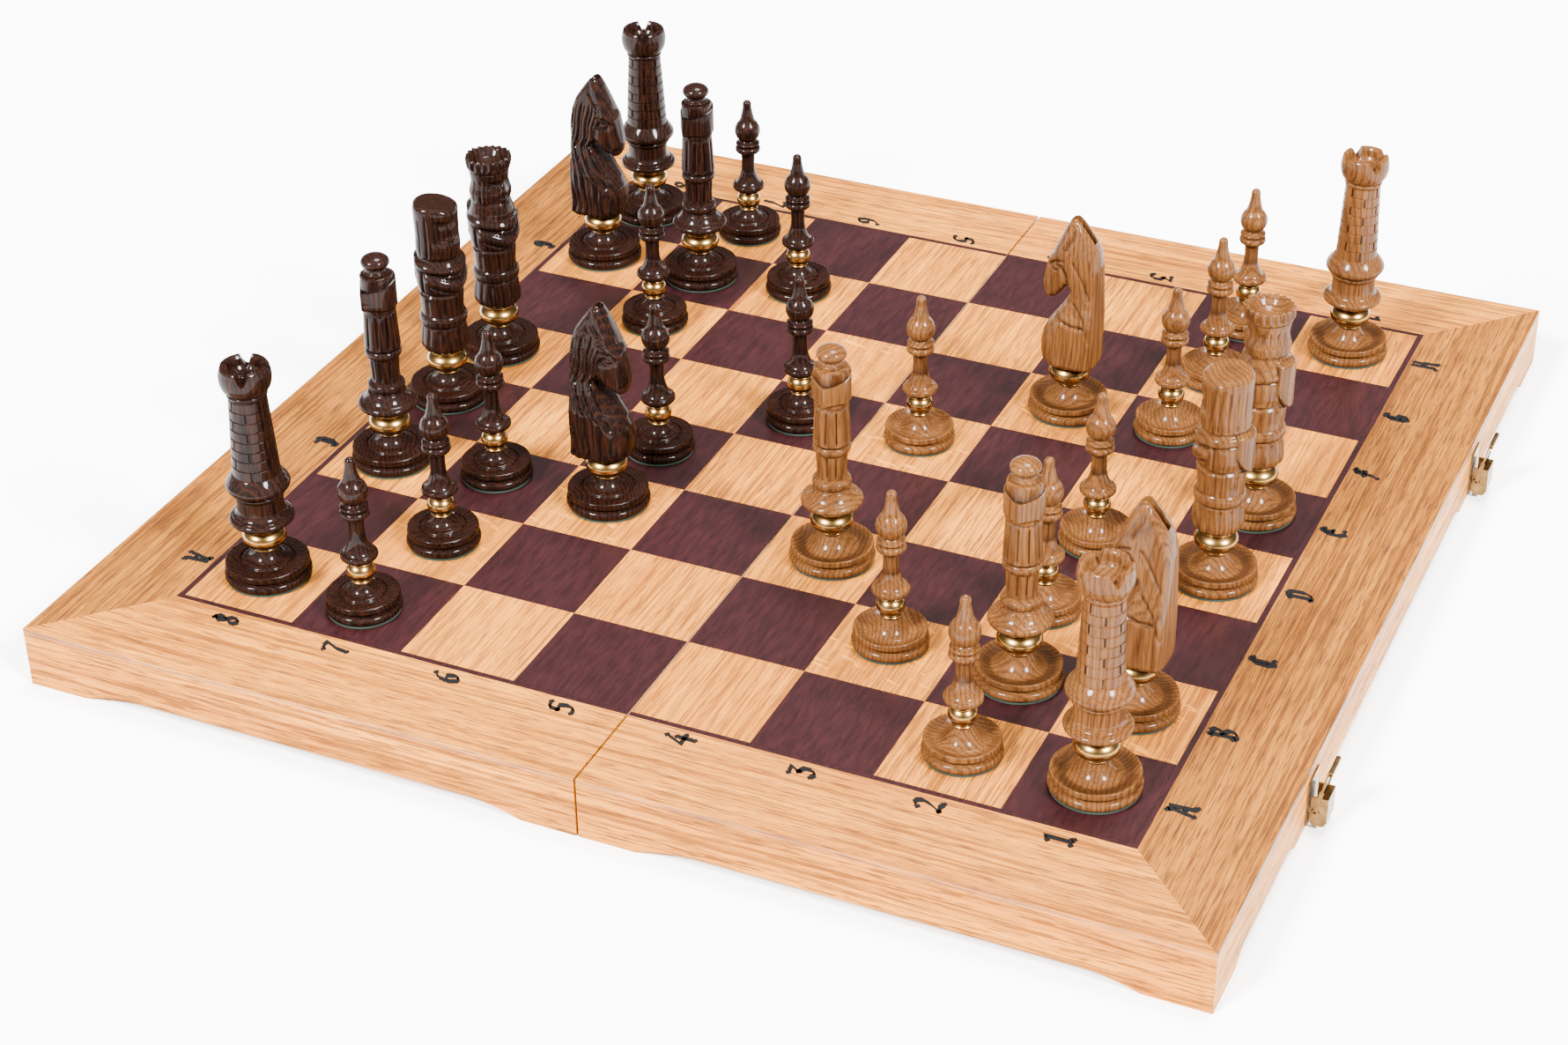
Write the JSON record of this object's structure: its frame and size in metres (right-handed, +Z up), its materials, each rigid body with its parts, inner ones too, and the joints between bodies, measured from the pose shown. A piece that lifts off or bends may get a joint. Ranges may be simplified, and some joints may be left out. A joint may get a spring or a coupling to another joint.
{
  "type": "chess set with folding board",
  "caption": "Folding wooden chess box opened flat as a board, with its turned and carved light and dark men set out in a game.",
  "frame": {"origin": "middle of the open board, on the table under the fold line", "axes": "+X along the board from the fold line to White's end and the latches, +Y from file a to file h, +Z up"},
  "size_m": [0.6038, 0.59, 0.1521],
  "materials": {
    "oak": "satin lacquered oak veneer, grain along each rail",
    "oak_square": "satin lacquered oak veneer",
    "dark_square": "semi-gloss burgundy-brown stained veneer",
    "plywood": "plain plywood",
    "light_wood": "satin-gloss golden oak",
    "dark_wood": "glossy very dark brown lacquer with open grain",
    "brass": "polished",
    "felt": "dark green felt"
  },
  "bodies": {
    "white_half": {"white_panel": "plywood", "white_light_squares": "oak_square", "white_dark_inlay": "dark_square", "white_frame": "oak", "white_side_walls": "oak", "white_end_wall": "oak", "white_spine_wall": "oak", "hinge_leaves_white": "brass", "hinge_pins": "brass", "white_screws": "brass", "latch_plates": "brass"},
    "black_half": {"black_panel": "plywood", "black_light_squares": "oak_square", "black_dark_inlay": "dark_square", "black_frame": "oak", "black_side_walls": "oak", "black_end_wall": "oak", "black_spine_wall": "oak", "hinge_leaves_black": "brass", "black_screws": "brass", "catch_plates": "brass"},
    "lever_front": {"latch_lever_front": "brass"},
    "hook_front": {"latch_hook_front": "brass"},
    "lever_back": {"latch_lever_back": "brass"},
    "hook_back": {"latch_hook_back": "brass"},
    "white_rook_a_man": {"white_rook_a": "light_wood"},
    "white_knight_b_man": {"white_knight_b": "light_wood"},
    "white_bishop_c_man": {"white_bishop_c": "light_wood"},
    "white_queen_man": {"white_queen": "light_wood"},
    "white_king_man": {"white_king": "light_wood"},
    "white_bishop_f_man": {"white_bishop_f": "light_wood"},
    "white_knight_g_man": {"white_knight_g": "light_wood"},
    "white_rook_h_man": {"white_rook_h": "light_wood"},
    "white_pawn_a_man": {"white_pawn_a": "light_wood"},
    "white_pawn_b_man": {"white_pawn_b": "light_wood"},
    "white_pawn_c_man": {"white_pawn_c": "light_wood"},
    "white_pawn_d_man": {"white_pawn_d": "light_wood"},
    "white_pawn_e_man": {"white_pawn_e": "light_wood"},
    "white_pawn_f_man": {"white_pawn_f": "light_wood"},
    "white_pawn_g_man": {"white_pawn_g": "light_wood"},
    "white_pawn_h_man": {"white_pawn_h": "light_wood"},
    "black_rook_a_man": {"black_rook_a": "dark_wood"},
    "black_knight_b_man": {"black_knight_b": "dark_wood"},
    "black_bishop_c_man": {"black_bishop_c": "dark_wood"},
    "black_queen_man": {"black_queen": "dark_wood"},
    "black_king_man": {"black_king": "dark_wood"},
    "black_bishop_f_man": {"black_bishop_f": "dark_wood"},
    "black_knight_g_man": {"black_knight_g": "dark_wood"},
    "black_rook_h_man": {"black_rook_h": "dark_wood"},
    "black_pawn_a_man": {"black_pawn_a": "dark_wood"},
    "black_pawn_b_man": {"black_pawn_b": "dark_wood"},
    "black_pawn_c_man": {"black_pawn_c": "dark_wood"},
    "black_pawn_d_man": {"black_pawn_d": "dark_wood"},
    "black_pawn_e_man": {"black_pawn_e": "dark_wood"},
    "black_pawn_f_man": {"black_pawn_f": "dark_wood"},
    "black_pawn_g_man": {"black_pawn_g": "dark_wood"},
    "black_pawn_h_man": {"black_pawn_h": "dark_wood"}
  },
  "joints": [
    {"name": "board_fold", "type": "hinge", "parent": "white_half", "child": "black_half", "pos_m": [0, 0, 0], "axis": [0, -1, 0], "range_deg": [0, 180]},
    {"name": "latch_lever_front", "type": "hinge", "parent": "white_half", "child": "lever_front", "pos_m": [0.298, -0.154, 0.0046], "axis": [0, 1, 0], "range_deg": [0, 58]},
    {"name": "latch_hook_front", "type": "hinge", "parent": "lever_front", "child": "hook_front", "pos_m": [0.2988, -0.154, 0.009], "axis": [0, 1, 0], "range_deg": [0, 120]},
    {"name": "latch_lever_back", "type": "hinge", "parent": "white_half", "child": "lever_back", "pos_m": [0.298, 0.147, 0.0046], "axis": [0, 1, 0], "range_deg": [0, 58]},
    {"name": "latch_hook_back", "type": "hinge", "parent": "lever_back", "child": "hook_back", "pos_m": [0.2988, 0.147, 0.009], "axis": [0, 1, 0], "range_deg": [0, 120]},
    {"name": "lift_white_rook_a", "type": "slide", "parent": "white_half", "child": "white_rook_a_man", "axis": [0, 0, 1], "range_m": [0, 0.15]},
    {"name": "lift_white_knight_b", "type": "slide", "parent": "white_half", "child": "white_knight_b_man", "axis": [0, 0, 1], "range_m": [0, 0.15]},
    {"name": "lift_white_bishop_c", "type": "slide", "parent": "white_half", "child": "white_bishop_c_man", "axis": [0, 0, 1], "range_m": [0, 0.15]},
    {"name": "lift_white_queen", "type": "slide", "parent": "white_half", "child": "white_queen_man", "axis": [0, 0, 1], "range_m": [0, 0.15]},
    {"name": "lift_white_king", "type": "slide", "parent": "white_half", "child": "white_king_man", "axis": [0, 0, 1], "range_m": [0, 0.15]},
    {"name": "lift_white_bishop_f", "type": "slide", "parent": "white_half", "child": "white_bishop_f_man", "axis": [0, 0, 1], "range_m": [0, 0.15]},
    {"name": "lift_white_knight_g", "type": "slide", "parent": "white_half", "child": "white_knight_g_man", "axis": [0, 0, 1], "range_m": [0, 0.15]},
    {"name": "lift_white_rook_h", "type": "slide", "parent": "white_half", "child": "white_rook_h_man", "axis": [0, 0, 1], "range_m": [0, 0.15]},
    {"name": "lift_white_pawn_a", "type": "slide", "parent": "white_half", "child": "white_pawn_a_man", "axis": [0, 0, 1], "range_m": [0, 0.15]},
    {"name": "lift_white_pawn_b", "type": "slide", "parent": "white_half", "child": "white_pawn_b_man", "axis": [0, 0, 1], "range_m": [0, 0.15]},
    {"name": "lift_white_pawn_c", "type": "slide", "parent": "white_half", "child": "white_pawn_c_man", "axis": [0, 0, 1], "range_m": [0, 0.15]},
    {"name": "lift_white_pawn_d", "type": "slide", "parent": "white_half", "child": "white_pawn_d_man", "axis": [0, 0, 1], "range_m": [0, 0.15]},
    {"name": "lift_white_pawn_e", "type": "slide", "parent": "white_half", "child": "white_pawn_e_man", "axis": [0, 0, 1], "range_m": [0, 0.15]},
    {"name": "lift_white_pawn_f", "type": "slide", "parent": "white_half", "child": "white_pawn_f_man", "axis": [0, 0, 1], "range_m": [0, 0.15]},
    {"name": "lift_white_pawn_g", "type": "slide", "parent": "white_half", "child": "white_pawn_g_man", "axis": [0, 0, 1], "range_m": [0, 0.15]},
    {"name": "lift_white_pawn_h", "type": "slide", "parent": "white_half", "child": "white_pawn_h_man", "axis": [0, 0, 1], "range_m": [0, 0.15]},
    {"name": "lift_black_rook_a", "type": "slide", "parent": "black_half", "child": "black_rook_a_man", "axis": [0, 0, 1], "range_m": [0, 0.15]},
    {"name": "lift_black_knight_b", "type": "slide", "parent": "black_half", "child": "black_knight_b_man", "axis": [0, 0, 1], "range_m": [0, 0.15]},
    {"name": "lift_black_bishop_c", "type": "slide", "parent": "black_half", "child": "black_bishop_c_man", "axis": [0, 0, 1], "range_m": [0, 0.15]},
    {"name": "lift_black_queen", "type": "slide", "parent": "black_half", "child": "black_queen_man", "axis": [0, 0, 1], "range_m": [0, 0.15]},
    {"name": "lift_black_king", "type": "slide", "parent": "black_half", "child": "black_king_man", "axis": [0, 0, 1], "range_m": [0, 0.15]},
    {"name": "lift_black_bishop_f", "type": "slide", "parent": "black_half", "child": "black_bishop_f_man", "axis": [0, 0, 1], "range_m": [0, 0.15]},
    {"name": "lift_black_knight_g", "type": "slide", "parent": "black_half", "child": "black_knight_g_man", "axis": [0, 0, 1], "range_m": [0, 0.15]},
    {"name": "lift_black_rook_h", "type": "slide", "parent": "black_half", "child": "black_rook_h_man", "axis": [0, 0, 1], "range_m": [0, 0.15]},
    {"name": "lift_black_pawn_a", "type": "slide", "parent": "black_half", "child": "black_pawn_a_man", "axis": [0, 0, 1], "range_m": [0, 0.15]},
    {"name": "lift_black_pawn_b", "type": "slide", "parent": "black_half", "child": "black_pawn_b_man", "axis": [0, 0, 1], "range_m": [0, 0.15]},
    {"name": "lift_black_pawn_c", "type": "slide", "parent": "black_half", "child": "black_pawn_c_man", "axis": [0, 0, 1], "range_m": [0, 0.15]},
    {"name": "lift_black_pawn_d", "type": "slide", "parent": "black_half", "child": "black_pawn_d_man", "axis": [0, 0, 1], "range_m": [0, 0.15]},
    {"name": "lift_black_pawn_e", "type": "slide", "parent": "black_half", "child": "black_pawn_e_man", "axis": [0, 0, 1], "range_m": [0, 0.15]},
    {"name": "lift_black_pawn_f", "type": "slide", "parent": "black_half", "child": "black_pawn_f_man", "axis": [0, 0, 1], "range_m": [0, 0.15]},
    {"name": "lift_black_pawn_g", "type": "slide", "parent": "black_half", "child": "black_pawn_g_man", "axis": [0, 0, 1], "range_m": [0, 0.15]},
    {"name": "lift_black_pawn_h", "type": "slide", "parent": "black_half", "child": "black_pawn_h_man", "axis": [0, 0, 1], "range_m": [0, 0.15]}
  ]
}
